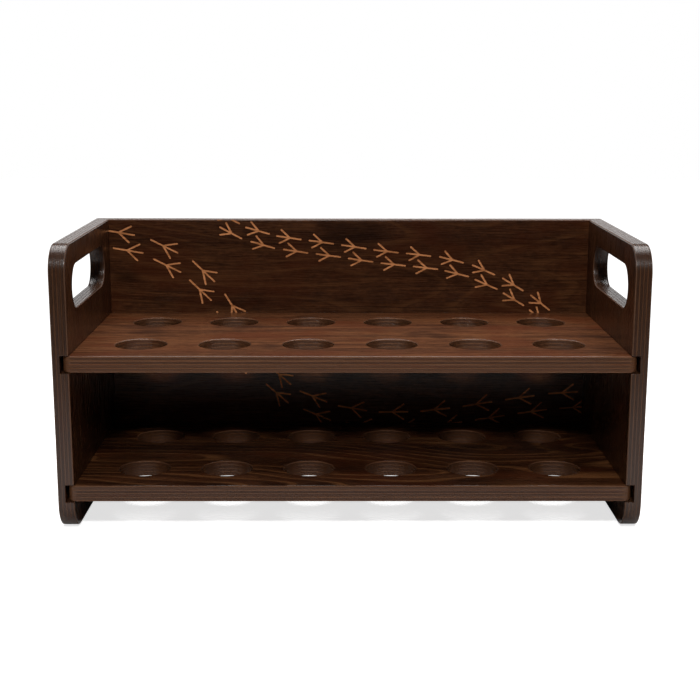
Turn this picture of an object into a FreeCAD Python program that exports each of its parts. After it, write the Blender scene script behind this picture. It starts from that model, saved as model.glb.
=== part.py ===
"""Two-tier egg holder: a mitred plywood frame with two loose trays that slide in grooves.

The origin is on the floor, under the middle of the bounding box. +X points to the right of a person
who faces the open front, +Y points to the back panel and +Z points up. Sizes are in millimetres.
"""

import FreeCAD, Part
import math
import os

import Sketcher

OUTPUT_FOLDER = "parts"

# Driving dimensions. Each one is a cell of the document's sheet, under the same name.
DIMENSIONS = {
    "overall_width": 420.0,
    "overall_depth": 187.0,
    "overall_height": 207.0,
    "ply_thickness": 12.0,
    "panel_corner_radius": 20.0,
    "edge_rounding": 1.0,
    "hand_hole_length": 128.0,
    "hand_hole_height": 32.0,
    "hand_hole_drop": 33.0,
    "groove_depth": 6.5,
    "groove_rounding": 0.5,
    "upper_tray_top": 129.5,
    "lower_tray_top": 34.5,
    "tray_play": 0.3,
    "tray_end_gap": 1.3,
    "tray_front_setback": 1.0,
    "tray_back_gap": 0.4,
    "tray_corner_radius": 6.0,
    "egg_hole_diameter": 38.0,
    "egg_columns": 6,
    "egg_rows": 2,
    "egg_column_pitch": 61.5,
    "egg_row_pitch": 88.0,
    "engraving_depth": 0.4,
    "engraving_stroke": 1.6,
    "toe_spread_degrees": 35.0,
    "side_toe_ratio": 0.90,
    "hind_toe_ratio": 0.85,
}

# Two trails of bird tracks are engraved in the back panel. Each follows a smooth line through a few
# points (x, z) on the panel's front face, in walking order, with a left and a right print per stride.
# The gauge is the distance between the left and the right row, and a negative stagger puts the right
# print ahead of the left one. A trail may walk off the panel's top edge, which cuts its prints short.
TRAILS = (
    {
        "points": ((-187, 189), (-152, 177), (-123, 157), (-62, 70), (3, 40), (75, 39), (188, 54)),
        "toe_length": 13.9,
        "stride": 36.3,
        "gauge": 13.5,
        "stagger": -9.0,
    },
    {
        "points": ((180, 113), (137, 147), (88, 168), (34, 175.5), (-20, 183), (-73, 192), (-99, 202.6)),
        "toe_length": 11.5,
        "stride": 27.1,
        "gauge": 10.2,
        "stagger": -7.2,
    },
)

doc = FreeCAD.newDocument("egg_holder_tray")


# ---------------------------------------------------------------- the sheet and small helpers


def make_sheet():
    """Put every driving dimension in a spreadsheet cell that carries its name."""
    sheet = doc.addObject("Spreadsheet::Sheet", "Dimensions")
    for row, (name, value) in enumerate(DIMENSIONS.items(), start=1):
        sheet.set(f"A{row}", name)
        sheet.set(f"B{row}", str(value))
        sheet.setAlias(f"B{row}", name)
    doc.recompute()
    return sheet


def size(name):
    """The value of a sheet cell as a plain number."""
    return float(sheet.get(name))


def bind(target, path, expression):
    """Bind one property to an expression in which each sheet name stands alone."""
    words = []
    for word in expression.split():
        words.append(f"Dimensions.{word}" if word in DIMENSIONS else word)
    target.setExpression(path, " ".join(words))


def new_body(label):
    body = doc.addObject("PartDesign::Body", label)
    body.Label = label
    return body


def new_sketch(body, plane_role, name):
    """A sketch on one of the body's own origin planes."""
    sketch = body.newObject("Sketcher::SketchObject", name)
    for plane in body.Origin.OriginFeatures:
        if plane.Role == plane_role:
            sketch.AttachmentSupport = (plane, [""])
    sketch.MapMode = "FlatFace"
    return sketch


def constrain(sketch, name, kind, references, expression):
    """Add a dimension to a sketch and bind it to the sheet."""
    index = sketch.addConstraint(Sketcher.Constraint(kind, *references, evaluate(expression)))
    sketch.renameConstraint(index, name)
    bind(sketch, f"Constraints.{name}", expression)


def draw_polygon(sketch, corners):
    """Draw a closed outline whose corners are pairs of expressions, each measured from the origin."""
    first = sketch.GeometryCount
    guesses = [
        FreeCAD.Vector(evaluate(across), evaluate(along), 0)
        for across, along in corners
    ]
    count = len(corners)
    for index in range(count):
        sketch.addGeometry(Part.LineSegment(guesses[index], guesses[(index + 1) % count]))
    for index in range(count):
        following = first + (index + 1) % count
        sketch.addConstraint(Sketcher.Constraint("Coincident", first + index, 2, following, 1))
    for index, (across, along) in enumerate(corners):
        place_point(sketch, f"corner{index}", (first + index, 1), across, along)


def place_point(sketch, name, point, across, along):
    """Fix a point's distances from the sketch's origin."""
    if across == "0":
        sketch.addConstraint(Sketcher.Constraint("PointOnObject", *point, -2))
    else:
        constrain(sketch, f"{name}_across", "DistanceX", (-1, 1, *point), across)
    if along == "0":
        sketch.addConstraint(Sketcher.Constraint("PointOnObject", *point, -1))
    else:
        constrain(sketch, f"{name}_along", "DistanceY", (-1, 1, *point), along)


def evaluate(expression):
    """Work out an expression of sheet names, for the first guess of a sketch point."""
    return float(sheet.evalExpression(expression)) if expression != "0" else 0.0


def add_pad(body, sketch, name, length):
    pad = body.newObject("PartDesign::Pad", name)
    pad.Profile = sketch
    bind(pad, "Length", length)
    doc.recompute()
    return pad


def add_pocket(body, sketch, name, reversed_direction):
    """Cut a sketch right through the body, and check that it did cut."""
    volume_before = body.Shape.Volume
    pocket = body.newObject("PartDesign::Pocket", name)
    pocket.Profile = sketch
    pocket.Type = "ThroughAll"
    pocket.Reversed = reversed_direction
    doc.recompute()
    if not body.Shape.Volume < volume_before - 1.0:
        raise RuntimeError(f"{body.Label}: {name} cut nothing")
    return pocket


def add_fillet(body, name, edges, radius):
    """Round the edges of the body's tip that the test picks."""
    base = body.Tip
    chosen = [f"Edge{number}" for number, edge in enumerate(base.Shape.Edges, 1) if edges(edge)]
    if not chosen:
        raise RuntimeError(f"{body.Label}: {name} found no edges")
    fillet = body.newObject("PartDesign::Fillet", name)
    fillet.Base = (base, chosen)
    bind(fillet, "Radius", radius)
    doc.recompute()
    return fillet


def lies_in(edge, axis, position):
    """True for an edge that lies wholly in the plane where the coordinate on axis is position."""
    box = edge.BoundBox
    low, high = {"x": (box.XMin, box.XMax), "y": (box.YMin, box.YMax), "z": (box.ZMin, box.ZMax)}[axis]
    return abs(low - position) < 0.01 and abs(high - position) < 0.01


# ---------------------------------------------------------------- side panels


def make_left_side_panel():
    """The left panel: rounded front corners, a hand hole, two tray grooves and a mitred back edge."""
    body = new_body("left_side_panel")
    bind(body, "Placement.Base.x", "0 - overall_width / 2")
    bind(body, "Placement.Base.y", "0 - overall_depth / 2")

    outline = new_sketch(body, "YZ_Plane", "side_outline")
    draw_polygon(outline, [
        ("0", "0"),
        ("overall_depth", "0"),
        ("overall_depth", "overall_height"),
        ("0", "overall_height"),
    ])
    add_pad(body, outline, "side_board", "ply_thickness")

    height = size("overall_height")
    add_fillet(
        body,
        "front_corners",
        lambda edge: lies_in(edge, "y", 0) and (lies_in(edge, "z", 0) or lies_in(edge, "z", height)),
        "panel_corner_radius",
    )
    add_hand_hole(body)

    thickness = size("ply_thickness")
    add_fillet(
        body,
        "eased_edges",
        lambda edge: lies_in(edge, "x", 0) or lies_in(edge, "x", thickness),
        "edge_rounding",
    )
    add_side_mitre(body)
    add_groove(body, "upper")
    add_groove(body, "lower")
    add_fillet(body, "eased_grooves", is_groove_mouth, "groove_rounding")
    return body


def add_hand_hole(body):
    """A slot with round ends, centred between the panel's front and the back panel."""
    sketch = new_sketch(body, "YZ_Plane", "hand_hole_outline")
    radius = size("hand_hole_height") / 2
    middle = (size("overall_depth") - size("ply_thickness")) / 2
    reach = size("hand_hole_length") / 2 - radius
    level = size("overall_height") - size("hand_hole_drop")
    up = FreeCAD.Vector(0, radius, 0)
    normal = FreeCAD.Vector(0, 0, 1)
    front = FreeCAD.Vector(middle - reach, level, 0)
    rear = FreeCAD.Vector(middle + reach, level, 0)
    quarter = math.pi / 2

    sketch.addGeometry(Part.ArcOfCircle(Part.Circle(front, normal, radius), quarter, 3 * quarter))
    sketch.addGeometry(Part.LineSegment(front - up, rear - up))
    sketch.addGeometry(Part.ArcOfCircle(Part.Circle(rear, normal, radius), -quarter, quarter))
    sketch.addGeometry(Part.LineSegment(rear + up, front + up))
    for tangency in ((0, 2, 1, 1), (1, 2, 2, 1), (2, 2, 3, 1), (3, 2, 0, 1)):
        sketch.addConstraint(Sketcher.Constraint("Tangent", *tangency))
    sketch.addConstraint(Sketcher.Constraint("Horizontal", 1))
    constrain(sketch, "end_radius", "Radius", (0,), "hand_hole_height / 2")
    half_depth = "( overall_depth - ply_thickness ) / 2"
    reach_text = "( hand_hole_length - hand_hole_height ) / 2"
    place_point(
        sketch, "front_end", (0, 3), f"{half_depth} - {reach_text}", "overall_height - hand_hole_drop"
    )
    constrain(sketch, "slot_reach", "DistanceX", (0, 3, 2, 3), "hand_hole_length - hand_hole_height")
    add_pocket(body, sketch, "hand_hole", True)


def add_side_mitre(body):
    """Cut the back edge to 45 degrees, from the outer corner to the inner face."""
    sketch = new_sketch(body, "XY_Plane", "side_mitre_outline")
    draw_polygon(sketch, [
        ("0", "overall_depth"),
        ("ply_thickness", "overall_depth - ply_thickness"),
        ("ply_thickness * 2", "overall_depth - ply_thickness"),
        ("ply_thickness * 2", "overall_depth + ply_thickness"),
        ("0", "overall_depth + ply_thickness"),
    ])
    add_pocket(body, sketch, "side_mitre", True)


def add_groove(body, tier):
    """Cut one tray groove from the front edge through to the mitre, on the inner face."""
    sketch = new_sketch(body, "XZ_Plane", f"{tier}_groove_outline")
    floor = f"{tier}_tray_top - ply_thickness - tray_play"
    roof = f"{tier}_tray_top + tray_play"
    draw_polygon(sketch, [
        ("ply_thickness - groove_depth", floor),
        ("ply_thickness * 2", floor),
        ("ply_thickness * 2", roof),
        ("ply_thickness - groove_depth", roof),
    ])
    add_pocket(body, sketch, f"{tier}_groove", False)


def is_groove_mouth(edge):
    """The edges where a groove opens on the panel's inner face and on its front edge."""
    thickness = size("ply_thickness")
    if not (lies_in(edge, "x", thickness) or lies_in(edge, "y", 0)):
        return False
    if lies_in(edge, "x", thickness - size("groove_depth")):
        return True
    for tier in ("upper", "lower"):
        top = size(f"{tier}_tray_top")
        roof = top + size("tray_play")
        floor = top - size("ply_thickness") - size("tray_play")
        if lies_in(edge, "z", roof) or lies_in(edge, "z", floor):
            return True
    return False


def make_right_side_panel(left_panel):
    """The right panel is the left one's mirror image."""
    panel = doc.addObject("Part::Mirroring", "right_side_panel")
    panel.Label = "right_side_panel"
    panel.Source = left_panel
    panel.Normal = FreeCAD.Vector(1, 0, 0)
    panel.Base = FreeCAD.Vector(0, 0, 0)
    return panel


# ---------------------------------------------------------------- back panel


def make_back_panel():
    """The back: the full height of the frame, mitred at both ends, with engraved bird tracks."""
    board = new_body("back_board")
    bind(board, "Placement.Base.x", "0 - overall_width / 2")
    bind(board, "Placement.Base.y", "overall_depth / 2 - ply_thickness")

    outline = new_sketch(board, "XY_Plane", "back_outline")
    draw_polygon(outline, [
        ("0", "0"),
        ("overall_width", "0"),
        ("overall_width", "ply_thickness"),
        ("0", "ply_thickness"),
    ])
    add_pad(board, outline, "back_plank", "overall_height")

    thickness = size("ply_thickness")
    add_fillet(
        board,
        "eased_back_edges",
        lambda edge: lies_in(edge, "y", 0) or lies_in(edge, "y", thickness),
        "edge_rounding",
    )
    add_back_mitres(board)

    tracks = doc.addObject("Part::Feature", "track_engraving")
    tracks.Shape = Part.makeCompound([solid for trail in TRAILS for solid in trail_solids(trail)])
    panel = doc.addObject("Part::Cut", "back_panel")
    panel.Label = "back_panel"
    panel.Base = board
    panel.Tool = tracks
    doc.recompute()
    if not panel.Shape.Volume < board.Shape.Volume - 1.0:
        raise RuntimeError("the tracks cut nothing")
    return panel


def add_back_mitres(board):
    """Cut both ends to 45 degrees, so that they meet the side panels."""
    left = new_sketch(board, "XY_Plane", "left_mitre_outline")
    draw_polygon(left, [
        ("0", "0"),
        ("ply_thickness", "0"),
        ("0", "ply_thickness"),
    ])
    add_pocket(board, left, "left_mitre", True)
    right = new_sketch(board, "XY_Plane", "right_mitre_outline")
    draw_polygon(right, [
        ("overall_width - ply_thickness", "0"),
        ("overall_width", "0"),
        ("overall_width", "ply_thickness"),
    ])
    add_pocket(board, right, "right_mitre", True)


def trail_solids(trail):
    """The cutters of one trail's prints, a left and a right one at each stride."""
    face_plane = size("overall_depth") / 2 - size("ply_thickness")
    line = Part.BSplineCurve()
    line.interpolate([FreeCAD.Vector(x, face_plane, z) for x, z in trail["points"]])
    cutter = print_cutter(trail["toe_length"])
    solids = []
    for stride in range(int(line.length() // trail["stride"]) + 1):
        where = line.parameterAtDistance(stride * trail["stride"], line.FirstParameter)
        heading = line.tangent(where)[0]
        leftward = FreeCAD.Vector(0, -1, 0).cross(heading)
        for side in (-1, 1):
            foot = line.value(where) + leftward * (side * trail["gauge"] / 2)
            foot = foot + heading * (side * trail["stagger"] / 2)
            turn = FreeCAD.Rotation(heading, leftward, FreeCAD.Vector(0, -1, 0), "XZY")
            solid = cutter.copy()
            solid.Placement = FreeCAD.Placement(foot, turn)
            solids.append(solid)
    return solids


def print_cutter(toe_length):
    """One bird's print, as a solid: toes towards local +X, on both sides of the local XY plane."""
    spread = math.radians(size("toe_spread_degrees"))
    side_toe = toe_length * size("side_toe_ratio")
    hind_toe = toe_length * size("hind_toe_ratio")
    toes = ((-spread, side_toe), (0.0, toe_length), (spread, side_toe), (math.pi, hind_toe))
    half = size("engraving_stroke") / 2
    edges = []
    for index, (angle, length) in enumerate(toes):
        angle_before = toes[index - 1][0]
        angle_after = toes[(index + 1) % len(toes)][0]
        crotch_before = crotch(angle_before, angle, half)
        crotch_after = crotch(angle, angle_after, half)
        right_corner = toe_point(angle, length - half, -half)
        tip = toe_point(angle, length, 0)
        left_corner = toe_point(angle, length - half, half)
        edges.append(Part.LineSegment(crotch_before, right_corner).toShape())
        edges.append(Part.Arc(right_corner, tip, left_corner).toShape())
        edges.append(Part.LineSegment(left_corner, crotch_after).toShape())
    depth = size("engraving_depth")
    face = Part.Face(Part.Wire(edges))
    face.translate(FreeCAD.Vector(0, 0, -depth))
    return face.extrude(FreeCAD.Vector(0, 0, 2 * depth))


def toe_point(angle, along, aside):
    """A point at a distance along a toe and beside its middle line."""
    return FreeCAD.Vector(
        along * math.cos(angle) - aside * math.sin(angle),
        along * math.sin(angle) + aside * math.cos(angle),
        0,
    )


def crotch(angle, next_angle, half):
    """Where the left edge of one toe meets the right edge of the next toe, turning to the left."""
    opening = (next_angle - angle) % (2 * math.pi)
    reach = half / math.sin(opening / 2)
    middle = angle + opening / 2
    return FreeCAD.Vector(reach * math.cos(middle), reach * math.sin(middle), 0)


# ---------------------------------------------------------------- trays


def make_tray(tier):
    """One loose tray: a board with rounded front corners and a grid of round egg holes."""
    body = new_body(f"{tier}_tray")
    length = "( overall_width - ( ply_thickness - groove_depth + tray_end_gap ) * 2 )"
    depth = "( overall_depth - ply_thickness - tray_front_setback - tray_back_gap )"
    bind(body, "Placement.Base.x", f"0 - {length} / 2")
    bind(body, "Placement.Base.y", "tray_front_setback - overall_depth / 2")
    bind(body, "Placement.Base.z", f"{tier}_tray_top - ply_thickness")

    outline = new_sketch(body, "XY_Plane", f"{tier}_tray_outline")
    draw_polygon(outline, [("0", "0"), (length, "0"), (length, depth), ("0", depth)])
    add_pad(body, outline, f"{tier}_tray_board", "ply_thickness")
    add_fillet(
        body,
        f"{tier}_front_corners",
        lambda edge: lies_in(edge, "y", 0) and edge.BoundBox.XLength < 0.01,
        "tray_corner_radius",
    )
    add_egg_holes(body, tier, length, depth)
    thickness = size("ply_thickness")
    add_fillet(
        body,
        f"{tier}_eased_edges",
        lambda edge: lies_in(edge, "z", 0) or lies_in(edge, "z", thickness),
        "edge_rounding",
    )
    return body


def add_egg_holes(body, tier, length, depth):
    """The first hole, at the front left, and a pattern of it in columns and rows."""
    sketch = new_sketch(body, "XY_Plane", f"{tier}_egg_hole_outline")
    across = f"( {length} - ( egg_columns - 1 ) * egg_column_pitch ) / 2"
    along = f"( {depth} - ( egg_rows - 1 ) * egg_row_pitch ) / 2"
    middle = FreeCAD.Vector(evaluate(across), evaluate(along), 0)
    radius = size("egg_hole_diameter") / 2
    sketch.addGeometry(Part.Circle(middle, FreeCAD.Vector(0, 0, 1), radius))
    constrain(sketch, "hole_diameter", "Diameter", (0,), "egg_hole_diameter")
    place_point(sketch, "first_hole", (0, 3), across, along)
    hole = add_pocket(body, sketch, f"{tier}_egg_hole", True)
    grid = body.newObject("PartDesign::LinearPattern", f"{tier}_egg_holes")
    grid.Originals = [hole]
    grid.Direction = (sketch, ["H_Axis"])
    grid.Direction2 = (sketch, ["V_Axis"])
    bind(grid, "Length", "( egg_columns - 1 ) * egg_column_pitch")
    bind(grid, "Occurrences", "egg_columns")
    bind(grid, "Length2", "( egg_rows - 1 ) * egg_row_pitch")
    bind(grid, "Occurrences2", "egg_rows")
    body.Tip = grid
    doc.recompute()


# ---------------------------------------------------------------- build, check and write


def check_document(subparts):
    """Stop if any object failed, or a sub-part isn't one valid solid."""
    for item in doc.Objects:
        if "Invalid" in item.State or "Error" in item.State:
            raise RuntimeError(f"{item.Label} failed: {item.State}")
    for part in subparts:
        if part.Shape.isNull() or not part.Shape.isValid() or len(part.Shape.Solids) != 1:
            raise RuntimeError(f"{part.Label} isn't one valid solid")


def write_parts(subparts):
    os.makedirs(OUTPUT_FOLDER, exist_ok=True)
    for part in subparts:
        part.Shape.exportStep(os.path.join(OUTPUT_FOLDER, f"{part.Label}.step"))
        box = part.Shape.BoundBox
        print(f"{part.Label}: {part.Shape.Volume / 1000:.1f} cm3, {box}")


sheet = make_sheet()
left_side_panel = make_left_side_panel()
right_side_panel = make_right_side_panel(left_side_panel)
back_panel = make_back_panel()
upper_tray = make_tray("upper")
lower_tray = make_tray("lower")
doc.recompute()

all_parts = [left_side_panel, right_side_panel, back_panel, upper_tray, lower_tray]
check_document(all_parts)
write_parts(all_parts)
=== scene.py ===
"""Looks of the egg holder tray: stained birch plywood, a studio and the camera.

Lengths are in metres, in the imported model's own frame: the origin is on the floor under the middle of
the object, +X points to the right of a person who faces the open front, +Y to the back panel, +Z up.
"""

import math

import bpy
from mathutils import Matrix, Vector


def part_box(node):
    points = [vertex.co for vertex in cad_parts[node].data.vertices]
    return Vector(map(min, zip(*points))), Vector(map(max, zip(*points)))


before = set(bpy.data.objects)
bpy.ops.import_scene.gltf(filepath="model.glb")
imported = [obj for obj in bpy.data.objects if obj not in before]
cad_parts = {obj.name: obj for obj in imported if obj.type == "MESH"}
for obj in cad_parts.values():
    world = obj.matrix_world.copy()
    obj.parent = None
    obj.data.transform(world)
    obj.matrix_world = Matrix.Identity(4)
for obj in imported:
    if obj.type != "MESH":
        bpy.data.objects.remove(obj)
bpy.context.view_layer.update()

MM = 0.001
PLY_COUNT = 9
WHITE = (1.0, 1.0, 1.0)

# Stain on the faces, in linear RGB, from the darkest fibres to the lightest.
STAIN_DARK = (0.022, 0.0068, 0.0026)
STAIN_MID = (0.060, 0.0200, 0.0076)
STAIN_LIGHT = (0.105, 0.0370, 0.0135)
STAIN_GLOW = (0.165, 0.0620, 0.0220)
STAIN_RED = (0.078, 0.0180, 0.0052)
RING_LINE = (0.200, 0.0780, 0.0270)

# Sawn edges: long grain takes little stain, end grain takes a lot, and some plies lie between.
EDGE_LONG = (0.128, 0.0550, 0.0250)
EDGE_END = (0.046, 0.0170, 0.0070)
EDGE_MIXED = (0.080, 0.0330, 0.0150)
GLUE = (0.012, 0.0045, 0.0025)
# The rubbed colour is wood worn pale on eased edges; near a tray's ends it is also painted light on the
# rounded ends, which the grooves keep in shade.
WORN_AND_LIT = (0.140, 0.0580, 0.0240)

# The engraved tracks. A track's floor faces the front and lies deeper than TRACK_FLOOR_FROM. Its walls
# face sideways, no deeper than TRACK_WALL_TO, and lie below the board's eased top edge.
BURNT_TAN = (0.88, 0.360, 0.140)
BURNT_BROWN = (0.50, 0.185, 0.062)
CHAR = (0.045, 0.016, 0.007)
BURNT_ROUGHNESS = 0.85
TRACK_FLOOR_FROM = 0.25 * MM
TRACK_WALL_TO = 0.42 * MM
EASED_EDGE = 1.05 * MM
FRONT_BELOW = -0.9
SIDEWAYS_BELOW = 0.5

# Noises: cycles per metre along the grain, across it and through the board, then detail and roughness.
FIBRE = ((50.0, 1900.0, 2470.0), 3.0, 0.6)
STREAK = ((7.0, 560.0, 728.0), 4.0, 0.6)
BROAD = ((3.0, 60.0, 78.0), 2.0, 0.5)
MOTTLE = ((170.0, 330.0, 0.0), 3.0, 0.7)
CLOUD = ((14.0, 26.0, 0.0), 3.0, 0.6)
RING_HEIGHT = ((3.2, 14.0, 0.0), 2.0, 0.30)

# Two more noises: one is alike in x, y and z, and bends the grain by up to half of DRIFT_WIDTH, and one
# changes only along a ply.
DRIFT = ((7.0, 7.0, 7.0), 1.0, 0.5)
DRIFT_WIDTH = 12.0 * MM
PLY_TONE = ((0.0, 4.0, 0.0), 0.0, 0.5)

# How far each ply's pattern is moved from the next one's, and how far a seed moves two of the noises.
PLY_SHIFT = 3.71
CLOUD_SHIFT = 2.3
RING_SHIFT = 1.7

# Growth rings: how many per unit of the height noise and per metre across. The line and the late wood
# rise and fall between these parts of a ring, and the line only shows where there are streaks.
RINGS_PER_HEIGHT = 17.0
RINGS_ACROSS = 14.0
LINE_RISE = (0.66, 0.90)
LINE_FALL = (1.0, 0.93)
LINE_STREAKS = (0.30, 0.55)
LINE_STRENGTH = 0.75
LATE_WOOD_RISE = (0.05, 0.60)

# How much each noise lightens or darkens a face, and the shade at which it is lightest or darkest.
STREAK_WEIGHT = 1.15
FIBRE_WEIGHT = 0.85
BROAD_WEIGHT = 0.60
MOTTLE_WEIGHT = 0.55
LATE_WOOD_WEIGHT = -0.12
SHADE_SPAN = 0.42

# Patches: as a noise goes from the first number to the second, more of a colour shows, up to the third.
RED_CLOUDS = (0.44, 0.66, 0.65)
DARK_CLOUDS = (0.44, 0.28, 0.65)
DARK_FIBRES = (0.36, 0.26, 0.60)
DARK_EDGE_STREAKS = (0.62, 0.34, 0.45)
LIGHT_END_FIBRES = (0.45, 0.75, 0.60)
MIXED_PLIES = (0.38, 0.62, 0.50)
RED_EDGE_CLOUDS = (0.50, 0.72, 0.35)
DARK_EDGE_FIBRES = (0.40, 0.28, 0.50)
TAN_STREAKS = (0.30, 0.62, 1.0)
BROWN_FIBRES = (0.45, 0.30, 0.70)

# The eased edges are rubbed in patches too, but never less than the third number.
RUBBED_CLOUDS = (0.36, 0.60, 0.15, 0.50)

# A knot is longer along the grain, its outline follows the cloud noise, and its stain spreads beyond it.
KNOT_STRETCH = 0.45
KNOT_WAVE = 1.6
KNOT_SPREAD = 2.6
KNOT_STRENGTH = 0.75

# How far a surface has to turn to a direction to count as a face, as end grain or as an eased edge.
FACE_TURN = (0.60, 0.95)
END_TURN = (0.20, 0.85)
EASED_TURN = (0.15, 0.50)

# A dark glue line shows where two plies meet. Points on the outermost faces count as inside the board.
GLUE_LINE = (0.06 * MM, 0.22 * MM)
GLUE_STRENGTH = 0.80
SKIN = 0.02 * MM

# A tray's edges are lighter near its ends: worn where they slide in the grooves, and painted light on the
# rounded ends, which the grooves keep in shade.
WORN_AND_LIT_END = (9.0 * MM, 2.5 * MM)
WORN_AND_LIT_STRENGTH = 0.4

# Roughness, and what fibres, end grain and eased edges add to it.
FACE_ROUGHNESS = 0.20
EDGE_ROUGHNESS = 0.17
FIBRE_ROUGHNESS = 0.16
END_ROUGHNESS = 0.06
EASED_ROUGHNESS = 0.50

# Fine relief: how high fibres stand, and how low end grain and glue lines lie, in parts of RELIEF.
RELIEF = 0.10 * MM
FACE_FIBRES = 0.12
EDGE_FIBRES = 0.22
END_FIBRES = 0.50
END_SINK = 0.55
GLUE_SINK = 0.50

# The floor's white goes from the first to the second number between two distances to the left or right,
# and its glow does so between two distances from the middle.
FLOOR_LEFT, FLOOR_RIGHT, FLOOR_FRONT, FLOOR_BACK = -2.0, 2.0, -0.50, 3.2
FLOOR_WHITE = (0.9, 0.3)
WHITE_CHANGES = (0.27, 0.37)
FLOOR_GLOW = (0.72, 1.0)
GLOW_CHANGES = (0.35, 1.10)
FLOOR_ROUGHNESS = 0.9

# For a direction of length 1, how far up the screen fades out, and how far back it fades in.
SCREEN_TOP = (0.11, 0.22)
SCREEN_SIDES = (-0.20, 0.45)

# A Mix node's inputs for the factor and two colours or two plain numbers, and its outputs for them.
COLOUR_INPUTS = (0, 6, 7)
COLOUR_OUTPUT = 2
NUMBER_INPUTS = (0, 2, 3)
NUMBER_OUTPUT = 0


# ---------------------------------------------------------------- a short way to write node trees


class Tree:
    """The node tree of a material or of the world, with one short method per kind of node."""

    def __init__(self, owner):
        owner.use_nodes = True
        self.nodes = owner.node_tree.nodes
        self.links = owner.node_tree.links

    def put(self, socket, value):
        """Link an output to an input, or set the input to a plain value."""
        if isinstance(value, bpy.types.NodeSocket):
            self.links.new(value, socket)
        elif isinstance(value, tuple) and socket.type == "RGBA":
            socket.default_value = (*value, 1.0)
        else:
            socket.default_value = value

    def math(self, operation, first, second=0.0, third=0.0):
        node = self.nodes.new("ShaderNodeMath")
        node.operation = operation
        for socket, value in zip(node.inputs, (first, second, third)):
            self.put(socket, value)
        return node.outputs[0]

    def product(self, *factors):
        result = factors[0]
        for factor in factors[1:]:
            result = self.math("MULTIPLY", result, factor)
        return result

    def vector(self, x, y, z):
        node = self.nodes.new("ShaderNodeCombineXYZ")
        for socket, value in zip(node.inputs, (x, y, z)):
            self.put(socket, value)
        return node.outputs[0]

    def split(self, vector):
        node = self.nodes.new("ShaderNodeSeparateXYZ")
        self.put(node.inputs[0], vector)
        return dict(zip("xyz", node.outputs))

    def length(self, vector):
        node = self.nodes.new("ShaderNodeVectorMath")
        node.operation = "LENGTH"
        self.put(node.inputs[0], vector)
        return node.outputs["Value"]

    def noise(self, place, look, shift):
        """Noise at a place of three numbers, which a look scales and a shift moves."""
        scales, detail, roughness = look
        node = self.nodes.new("ShaderNodeTexNoise")
        self.put(node.inputs["Vector"], self.vector(*(
            self.math("MULTIPLY_ADD", part, scale, move)
            for part, scale, move in zip(place, scales, shift)
        )))
        node.inputs["Scale"].default_value = 1.0
        node.inputs["Detail"].default_value = detail
        node.inputs["Roughness"].default_value = roughness
        return node.outputs["Fac"]

    def swing(self, noise):
        """A noise, moved so that it swings about zero."""
        return self.math("SUBTRACT", noise, 0.5)

    def slope(self, value, low, high, to_low, to_high, kind="LINEAR"):
        """A slope from to_low at low to to_high at high, and level beyond them."""
        node = self.nodes.new("ShaderNodeMapRange")
        node.interpolation_type = kind
        for socket, entry in zip(node.inputs, (value, low, high, to_low, to_high)):
            self.put(socket, entry)
        return node.outputs[0]

    def smooth(self, value, low, high, to_low=0.0, to_high=1.0):
        """The same, with soft ends."""
        return self.slope(value, low, high, to_low, to_high, "SMOOTHSTEP")

    def patches(self, noise, look, strength=1.0):
        """How much of a colour shows, where a look gives two limits of a noise and the most to show."""
        low, high, most = look
        return self.smooth(noise, low, high, 0.0, most * strength)

    def mix(self, factor, first, second, blend="MIX"):
        """A colour between two others."""
        node = self.nodes.new("ShaderNodeMix")
        node.data_type = "RGBA"
        node.blend_type = blend
        for index, value in zip(COLOUR_INPUTS, (factor, first, second)):
            self.put(node.inputs[index], value)
        return node.outputs[COLOUR_OUTPUT]

    def tint(self, colour, tone):
        """A colour made lighter or darker."""
        return self.mix(1.0, colour, (tone, tone, tone), "MULTIPLY")

    def choose(self, factor, first, second):
        """A plain number between two others."""
        node = self.nodes.new("ShaderNodeMix")
        node.data_type = "FLOAT"
        for index, value in zip(NUMBER_INPUTS, (factor, first, second)):
            self.put(node.inputs[index], value)
        return node.outputs[NUMBER_OUTPUT]

    def ramp(self, value, stops):
        """A colour from evenly spaced stops."""
        node = self.nodes.new("ShaderNodeValToRGB")
        band = node.color_ramp
        while len(band.elements) < len(stops):
            band.elements.new(0.5)
        for index, colour in enumerate(stops):
            band.elements[index].position = index / (len(stops) - 1)
            band.elements[index].color = (*colour, 1.0)
        self.put(node.inputs[0], value)
        return node.outputs[0]

    def bump(self, height, distance):
        node = self.nodes.new("ShaderNodeBump")
        node.inputs["Distance"].default_value = distance
        self.put(node.inputs["Height"], height)
        return node.outputs[0]


# ---------------------------------------------------------------- plywood


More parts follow.
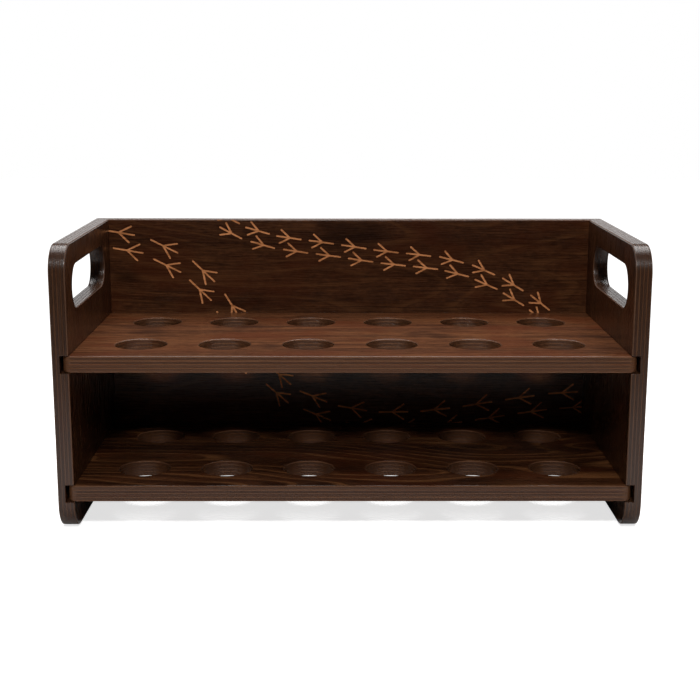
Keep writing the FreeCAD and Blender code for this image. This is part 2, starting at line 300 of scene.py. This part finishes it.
class Plywood(Tree):
    """Stained plywood as a solid texture, so that faces, edges and holes all show the right plies.

    depth_axis runs through the board and grain_axis along the grain of its faces. Every second ply has
    its grain turned by 90 degrees. The seed moves the pattern.
    """

    def __init__(self, node_name, depth_axis, grain_axis, seed):
        self.material = bpy.data.materials.new(f"plywood_{node_name}")
        super().__init__(self.material)
        self.depth_axis = depth_axis
        self.grain_axis = grain_axis
        self.cross_axis = ({"x", "y", "z"} - {depth_axis, grain_axis}).pop()
        coordinates = self.nodes.new("ShaderNodeTexCoord")
        self.place = self.split(coordinates.outputs["Object"])
        self.facing = self.split(coordinates.outputs["Normal"])
        low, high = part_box(node_name)
        axis_index = "xyz".index(depth_axis)
        self.right_end = high[0]
        self.add_plies(low[axis_index], high[axis_index])
        self.add_noises(seed)
        self.add_directions()

    def add_plies(self, start, end):
        """Find the ply that a point lies in, and whether that ply is turned."""
        thickness = end - start
        self.ply = thickness / PLY_COUNT
        depth = self.math("SUBTRACT", self.place[self.depth_axis], start)
        self.depth = self.math("MINIMUM", self.math("MAXIMUM", depth, SKIN), thickness - SKIN)
        self.ply_number = self.math("FLOOR", self.math("DIVIDE", self.depth, self.ply))
        self.turned = self.math("PINGPONG", self.ply_number, 1.0)

    def add_noises(self, seed):
        """Add the noises that every part of the look shares."""
        along = self.place[self.grain_axis]
        across = self.place[self.cross_axis]
        offset = self.math("MULTIPLY_ADD", self.ply_number, PLY_SHIFT, seed)

        # The grain of a ply wanders a little from side to side.
        drift = self.noise((self.place["x"], self.place["y"], self.place["z"]), DRIFT, (0.0, 0.0, offset))
        drift = self.math("MULTIPLY", self.swing(drift), DRIFT_WIDTH)
        ply_along = self.choose(self.turned, along, across)
        ply_across = self.math("ADD", self.choose(self.turned, across, along), drift)
        ply_place = (ply_along, ply_across, self.depth)
        self.fibre = self.noise(ply_place, FIBRE, (offset, 0.0, 0.0))
        self.streak = self.noise(ply_place, STREAK, (offset, 0.0, 0.0))
        self.broad = self.noise(ply_place, BROAD, (offset, 0.0, 0.0))
        self.ply_tone = self.noise((0.0, ply_along, 0.0), PLY_TONE, (offset, 0.0, 0.0))

        board_place = (along, across, self.depth)
        self.mottle = self.noise(board_place, MOTTLE, (seed, 0.0, offset))
        self.cloud = self.noise(board_place, CLOUD, (seed * CLOUD_SHIFT, 0.0, offset))
        self.height = self.noise(board_place, RING_HEIGHT, (seed * RING_SHIFT, 0.0, offset))

    def add_directions(self):
        """Tell faces, edges, end grain and the rounding between a face and an edge from each other."""
        facing_depth = self.math("ABSOLUTE", self.facing[self.depth_axis])
        facing_along = self.math("ABSOLUTE", self.choose(
            self.turned, self.facing[self.grain_axis], self.facing[self.cross_axis]))
        self.is_face = self.smooth(facing_depth, *FACE_TURN)
        self.is_edge = self.math("SUBTRACT", 1.0, self.is_face)
        self.endness = self.smooth(facing_along, *END_TURN)
        self.end_cut = self.product(self.endness, self.is_edge)
        self.eased = self.smooth(self.product(facing_depth, self.is_edge), *EASED_TURN)

        # How far a point is from the nearest joint between two plies.
        within = self.math("FRACT", self.math("DIVIDE", self.depth, self.ply))
        to_joint = self.product(self.math("PINGPONG", within, 0.5), self.ply)
        self.joint = self.smooth(to_joint, *GLUE_LINE, GLUE_STRENGTH, 0.0)

    def rings(self):
        """Growth rings, which the veneer knife cuts at a shallow angle: long loops and arches."""
        across = self.math("MULTIPLY", self.place[self.cross_axis], RINGS_ACROSS)
        phase = self.math("FRACT", self.math("MULTIPLY_ADD", self.height, RINGS_PER_HEIGHT, across))
        line = self.product(
            self.smooth(phase, *LINE_RISE),
            self.smooth(phase, *LINE_FALL),
            self.smooth(self.streak, *LINE_STREAKS),
        )
        return line, self.smooth(phase, *LATE_WOOD_RISE)

    def face(self, tone, stripes, loops, knots):
        """The board's faces, with straight grain and growth rings of the given strengths."""
        ring_line, late_wood = self.rings()
        shade = 0.0
        for noise, weight in (
            (self.streak, STREAK_WEIGHT * stripes),
            (self.fibre, FIBRE_WEIGHT),
            (self.broad, BROAD_WEIGHT),
            (self.mottle, MOTTLE_WEIGHT),
        ):
            shade = self.math("MULTIPLY_ADD", self.swing(noise), weight, shade)
        shade = self.math("MULTIPLY_ADD", late_wood, LATE_WOOD_WEIGHT * loops, shade)
        stains = (STAIN_DARK, STAIN_MID, STAIN_LIGHT, STAIN_GLOW)
        wood = self.ramp(self.smooth(shade, -SHADE_SPAN, SHADE_SPAN), stains)
        wood = self.mix(self.patches(self.cloud, RED_CLOUDS), wood, STAIN_RED)
        wood = self.mix(self.math("MULTIPLY", ring_line, LINE_STRENGTH * loops), wood, RING_LINE)
        wood = self.mix(self.patches(self.cloud, DARK_CLOUDS, stripes), wood, STAIN_DARK)
        wood = self.mix(self.patches(self.fibre, DARK_FIBRES), wood, STAIN_DARK)
        for knot in knots:
            wood = self.mix(self.knot(*knot), wood, STAIN_DARK)
        return self.tint(wood, tone)

    def knot(self, knot_along, knot_across, radius):
        """A dark spot, from its place along and across the grain and its radius."""
        along = self.math("SUBTRACT", self.place[self.grain_axis], knot_along)
        across = self.math("SUBTRACT", self.place[self.cross_axis], knot_across)
        along = self.math("MULTIPLY", along, KNOT_STRETCH)
        span = self.length(self.vector(along, across, 0.0))
        span = self.math("MULTIPLY_ADD", self.swing(self.cloud), radius * KNOT_WAVE, span)
        return self.smooth(span, radius * KNOT_SPREAD, 0.0, 0.0, KNOT_STRENGTH)

    def edge(self, tone):
        """The sawn edges, with their plies and glue lines."""
        long_wood = self.mix(self.patches(self.streak, DARK_EDGE_STREAKS), EDGE_LONG, EDGE_END)
        end_wood = self.mix(self.patches(self.fibre, LIGHT_END_FIBRES), EDGE_END, EDGE_LONG)
        wood = self.mix(self.endness, long_wood, end_wood)
        wood = self.mix(self.patches(self.ply_tone, MIXED_PLIES), wood, EDGE_MIXED)
        wood = self.mix(self.patches(self.cloud, RED_EDGE_CLOUDS), wood, STAIN_RED)
        wood = self.mix(self.patches(self.fibre, DARK_EDGE_FIBRES), wood, GLUE)
        wood = self.mix(self.joint, wood, GLUE)
        return self.tint(wood, tone)

    def rub(self, wood):
        """Rub the eased edges lighter, in patches."""
        rubbed = self.product(self.eased, self.smooth(self.cloud, *RUBBED_CLOUDS))
        return self.mix(rubbed, wood, WORN_AND_LIT)

    def wear_and_light_ends(self, wood):
        """Lighten a tray's edges near its ends, which are as far to the left as to the right: wear from
        the grooves, and painted light on the rounded ends that the grooves shade.
        """
        starts, full = (self.right_end - distance for distance in WORN_AND_LIT_END)
        from_middle = self.math("ABSOLUTE", self.place["x"])
        end = self.smooth(from_middle, starts, full, 0.0, WORN_AND_LIT_STRENGTH)
        return self.mix(self.product(end, self.is_edge), wood, WORN_AND_LIT)

    def roughness(self):
        """Satin faces and edges, and duller eased edges."""
        value = self.choose(self.is_face, EDGE_ROUGHNESS, FACE_ROUGHNESS)
        value = self.math("MULTIPLY_ADD", self.fibre, FIBRE_ROUGHNESS, value)
        value = self.math("MULTIPLY_ADD", self.end_cut, END_ROUGHNESS, value)
        return self.math("MULTIPLY_ADD", self.eased, EASED_ROUGHNESS, value)

    def relief(self):
        """Fine relief: fibres stand up, and end grain and glue lines lie lower."""
        edge_fibres = self.choose(self.endness, EDGE_FIBRES, END_FIBRES)
        height = self.product(self.fibre, self.choose(self.is_face, edge_fibres, FACE_FIBRES))
        height = self.math("SUBTRACT", height, self.product(self.end_cut, END_SINK))
        height = self.math("SUBTRACT", height, self.product(self.joint, self.is_edge, GLUE_SINK))
        return self.bump(height, RELIEF)

    def engrave(self, wood, roughness):
        """Colour the floors and walls of the engraved tracks, where a laser burnt through the stain."""
        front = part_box("back_panel")[0].y
        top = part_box("back_panel")[1].z
        floor = self.product(
            self.math("GREATER_THAN", self.place["y"], front + TRACK_FLOOR_FROM),
            self.math("LESS_THAN", self.facing["y"], FRONT_BELOW),
        )
        wall = self.product(
            self.math("LESS_THAN", self.place["y"], front + TRACK_WALL_TO),
            self.math("LESS_THAN", self.place["z"], top - EASED_EDGE),
            self.math("LESS_THAN", self.math("ABSOLUTE", self.facing["y"]), SIDEWAYS_BELOW),
        )
        burnt = self.mix(self.patches(self.streak, TAN_STREAKS), BURNT_BROWN, BURNT_TAN)
        burnt = self.mix(self.patches(self.fibre, BROWN_FIBRES), burnt, BURNT_BROWN)
        wood = self.mix(floor, wood, burnt)
        wood = self.mix(wall, wood, CHAR)
        return wood, self.choose(floor, roughness, BURNT_ROUGHNESS)

    def finish(self, wood, roughness, ior):
        """Join everything in the shader."""
        shader = self.nodes["Principled BSDF"]
        self.put(shader.inputs["Base Color"], wood)
        self.put(shader.inputs["Roughness"], roughness)
        self.put(shader.inputs["Normal"], self.relief())
        shader.inputs["IOR"].default_value = ior
        return self.material


def give(node_name, material):
    """Put a material in every slot of a CAD node."""
    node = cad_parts[node_name]
    if not node.material_slots:
        node.data.materials.append(material)
    for slot in node.material_slots:
        slot.material = material


def stain(node_name, depth_axis, grain_axis, seed, face_tone, edge_tone, stripes, loops, ior, knots=()):
    """Stain one board.

    The tones set how light the stain is on its faces and edges, and the ior how much they gloss. stripes
    and loops are the strengths of the straight grain and of the growth rings on the faces. Each knot is a
    place along and across the grain with a radius.
    """
    board = Plywood(node_name, depth_axis, grain_axis, seed)
    wood = board.mix(board.is_face, board.edge(edge_tone), board.face(face_tone, stripes, loops, knots))
    wood = board.rub(wood)
    roughness = board.roughness()
    # Trays get wear near their ends, with painted light on their rounded ends.
    if node_name.endswith("tray"):
        wood = board.wear_and_light_ends(wood)
    if node_name == "back_panel":
        wood, roughness = board.engrave(wood, roughness)
    give(node_name, board.finish(wood, roughness, ior))


SIDE_LOOK = {"face_tone": 0.48, "edge_tone": 0.76, "stripes": 0.55, "loops": 0.15, "ior": 1.45}
BOARDS = {
    "left_side_panel": {"depth_axis": "x", "grain_axis": "z", "seed": 1.3, **SIDE_LOOK},
    "right_side_panel": {"depth_axis": "x", "grain_axis": "z", "seed": 7.9, **SIDE_LOOK},
    "back_panel": {
        "depth_axis": "y", "grain_axis": "x", "seed": 4.4,
        "face_tone": 0.76, "edge_tone": 0.80, "stripes": 0.55, "loops": 0.45, "ior": 1.33,
        "knots": ((6 * MM, 196 * MM, 6 * MM), (-184 * MM, 159 * MM, 3 * MM)),
    },
    "upper_tray": {
        "depth_axis": "z", "grain_axis": "x", "seed": 11.2,
        "face_tone": 1.18, "edge_tone": 1.42, "stripes": 1.10, "loops": 0.15, "ior": 1.35,
    },
    "lower_tray": {
        "depth_axis": "z", "grain_axis": "x", "seed": 16.7,
        "face_tone": 0.60, "edge_tone": 1.12, "stripes": 0.25, "loops": 1.50, "ior": 1.35,
    },
}
for board_name, board_look in BOARDS.items():
    stain(board_name, **board_look)


# ---------------------------------------------------------------- studio


def add_floor():
    """A plain white table that glows for the camera, less so near the object, where shadows show.

    To the left and right it is a duller white, so that the outer side faces mirror it less brightly.
    """
    mesh = bpy.data.meshes.new("floor")
    mesh.from_pydata([
        (FLOOR_LEFT, FLOOR_FRONT, 0),
        (FLOOR_RIGHT, FLOOR_FRONT, 0),
        (FLOOR_RIGHT, FLOOR_BACK, 0),
        (FLOOR_LEFT, FLOOR_BACK, 0),
    ], [], [(0, 1, 2, 3)])
    floor = bpy.data.objects.new("floor", mesh)
    bpy.context.scene.collection.objects.link(floor)

    paint = bpy.data.materials.new("floor_paint")
    tree = Tree(paint)
    place = tree.nodes.new("ShaderNodeTexCoord").outputs["Object"]
    from_middle = tree.math("ABSOLUTE", tree.split(place)["x"])
    pale = tree.slope(from_middle, *WHITE_CHANGES, *FLOOR_WHITE)
    seen = tree.nodes.new("ShaderNodeLightPath").outputs["Is Camera Ray"]
    glow = tree.product(seen, tree.slope(tree.length(place), *GLOW_CHANGES, *FLOOR_GLOW))
    shader = tree.nodes["Principled BSDF"]
    tree.put(shader.inputs["Base Color"], pale)
    tree.put(shader.inputs["Roughness"], FLOOR_ROUGHNESS)
    tree.put(shader.inputs["Emission Color"], WHITE)
    tree.put(shader.inputs["Emission Strength"], glow)
    mesh.materials.append(paint)


def add_light(name, place, target, width, height, power):
    """A soft box that faces a point."""
    lamp = bpy.data.lights.new(name, "AREA")
    lamp.shape = "RECTANGLE"
    lamp.size = width
    lamp.size_y = height
    lamp.energy = power
    box = bpy.data.objects.new(name, lamp)
    box.location = place
    box.rotation_euler = (Vector(target) - Vector(place)).to_track_quat("-Z", "Y").to_euler()
    bpy.context.scene.collection.objects.link(box)


def add_world(screen, above, in_front):
    """A low white screen behind the object and a dim room, shown white to the camera."""
    world = bpy.data.worlds.new("studio")
    tree = Tree(world)
    direction = tree.split(tree.nodes.new("ShaderNodeTexCoord").outputs["Generated"])
    behind = tree.smooth(direction["z"], *SCREEN_TOP, screen, above)
    room = tree.nodes["Background"]
    tree.put(room.inputs["Strength"], tree.smooth(direction["y"], *SCREEN_SIDES, in_front, behind))
    tree.put(room.inputs["Color"], WHITE)
    white = tree.nodes.new("ShaderNodeBackground")
    tree.put(white.inputs["Color"], WHITE)
    seen = tree.nodes.new("ShaderNodeLightPath").outputs["Is Camera Ray"]
    pick = tree.nodes.new("ShaderNodeMixShader")
    for socket, output in zip(pick.inputs, (seen, room.outputs[0], white.outputs[0])):
        tree.put(socket, output)
    tree.put(tree.nodes["World Output"].inputs["Surface"], pick.outputs[0])
    bpy.context.scene.world = world


def add_camera(place, pitch, yaw, roll, lens, sensor_width):
    """A camera that looks along +Y, turned down by pitch, right by yaw and about its axis by roll."""
    forward = Vector((math.sin(yaw) * math.cos(pitch), math.cos(yaw) * math.cos(pitch), -math.sin(pitch)))
    level = Vector((math.cos(yaw), -math.sin(yaw), 0.0))
    right = math.cos(roll) * level + math.sin(roll) * level.cross(forward)
    up = right.cross(forward)
    camera = bpy.data.objects.new("camera", bpy.data.cameras.new("camera"))
    camera.data.lens = lens
    camera.data.sensor_width = sensor_width
    turn = Matrix((right, up, -forward)).transposed()
    camera.matrix_world = Matrix.Translation(place) @ turn.to_4x4()
    bpy.context.scene.collection.objects.link(camera)
    bpy.context.scene.camera = camera


add_floor()
add_world(screen=1.5, above=0.15, in_front=0.03)
add_light("key", (0.0, -1.95, 1.93), target=(0, 0, 0.08), width=0.35, height=0.25, power=34.0)
add_light("overhead", (0, 0.58, 1.62), target=(0, 0, 0.1), width=1.3, height=1.1, power=32.0)

# The photograph's viewpoint, from a perspective fit to the edges of the boards.
add_camera(
    (-0.0068, -0.9761, 0.3209), pitch=0.20828, yaw=0.00727, roll=0.00193, lens=66.09, sensor_width=36.0,
)

bpy.context.scene.view_settings.view_transform = "Standard"
